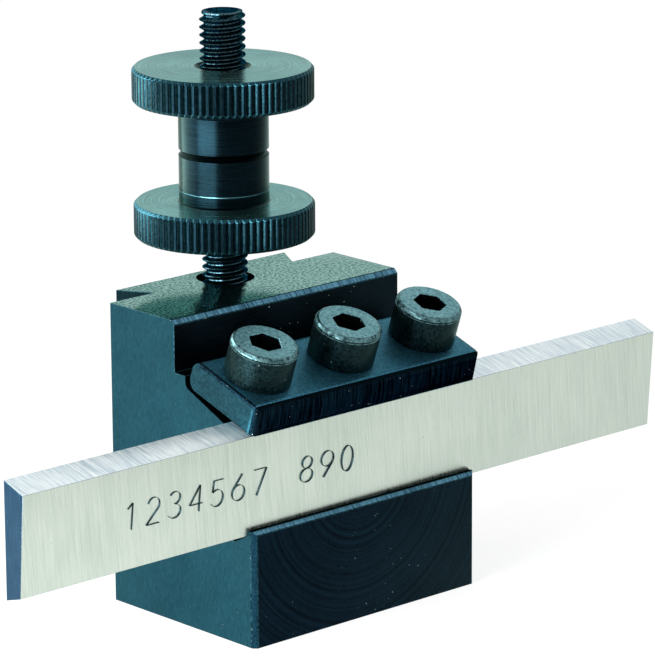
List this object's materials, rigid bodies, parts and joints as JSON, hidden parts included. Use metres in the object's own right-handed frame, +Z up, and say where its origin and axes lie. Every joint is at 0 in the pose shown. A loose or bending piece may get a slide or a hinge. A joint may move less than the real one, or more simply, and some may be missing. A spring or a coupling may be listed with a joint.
{
  "type": "parting tool holder",
  "caption": "Quick-change parting tool holder: dovetailed steel block, blade in a front slot under a tilted screwed clamp plate, threaded stud with knurled height and lock nuts.",
  "frame": {"origin": "on the block's underside, midway along the block's width, in the plane of the dovetail's shoulders", "axes": "+X along the blade, -Y out of the block's blade side, +Y out of the dovetail's back, +Z up along the height stud"},
  "size_m": [0.085, 0.0309, 0.0588],
  "materials": {
    "block_steel": "black oxide over ground and milled steel",
    "blade_steel": "bright ground high-speed steel",
    "plate_steel": "black oxide over milled steel",
    "screw_steel": "black oxide, worn on the edges",
    "stud_steel": "black oxide",
    "nut_steel": "black oxide over turned steel, worn on the rims"
  },
  "bodies": {
    "block": {"holder_block": "block_steel", "height_stud": "stud_steel"},
    "blade": {"parting_blade": "blade_steel"},
    "clamp": {"clamp_plate": "plate_steel"},
    "screw_left": {"clamp_screw_left": "screw_steel"},
    "screw_middle": {"clamp_screw_middle": "screw_steel"},
    "screw_right": {"clamp_screw_right": "screw_steel"},
    "height_nut": {"height_nut": "nut_steel"},
    "lock_nut": {"lock_nut": "nut_steel"}
  },
  "joints": [
    {"name": "blade_slide", "type": "slide", "parent": "block", "child": "blade", "axis": [1, 0, 0], "range_m": [-0.026, 0.028]},
    {"name": "clamp_lift", "type": "slide", "parent": "block", "child": "clamp", "axis": [0, -0.3256, 0.9455], "range_m": [0, 0.0021]},
    {"name": "screw_left_spin", "type": "hinge", "parent": "clamp", "child": "screw_left", "pos_m": [-0.0111, -0.01746, 0.02627], "axis": [0, -0.3256, 0.9455], "range_deg": [0, 1080]},
    {"name": "screw_middle_spin", "type": "hinge", "parent": "clamp", "child": "screw_middle", "pos_m": [0, -0.01746, 0.02627], "axis": [0, -0.3256, 0.9455], "range_deg": [0, 1080]},
    {"name": "screw_right_spin", "type": "hinge", "parent": "clamp", "child": "screw_right", "pos_m": [0.0111, -0.01746, 0.02627], "axis": [0, -0.3256, 0.9455], "range_deg": [0, 1080]},
    {"name": "height_nut_travel", "type": "slide", "parent": "block", "child": "height_nut", "axis": [0, 0, 1], "range_m": [-0.0045, 0]},
    {"name": "lock_nut_travel", "type": "slide", "parent": "block", "child": "lock_nut", "axis": [0, 0, 1], "range_m": [0, 0.0055]}
  ],
  "couplings": [
    {"joint": "screw_left_spin", "follows": "clamp_lift", "rad_per_m": 8975.9},
    {"joint": "screw_middle_spin", "follows": "clamp_lift", "rad_per_m": 8975.9},
    {"joint": "screw_right_spin", "follows": "clamp_lift", "rad_per_m": 8975.9}
  ]
}
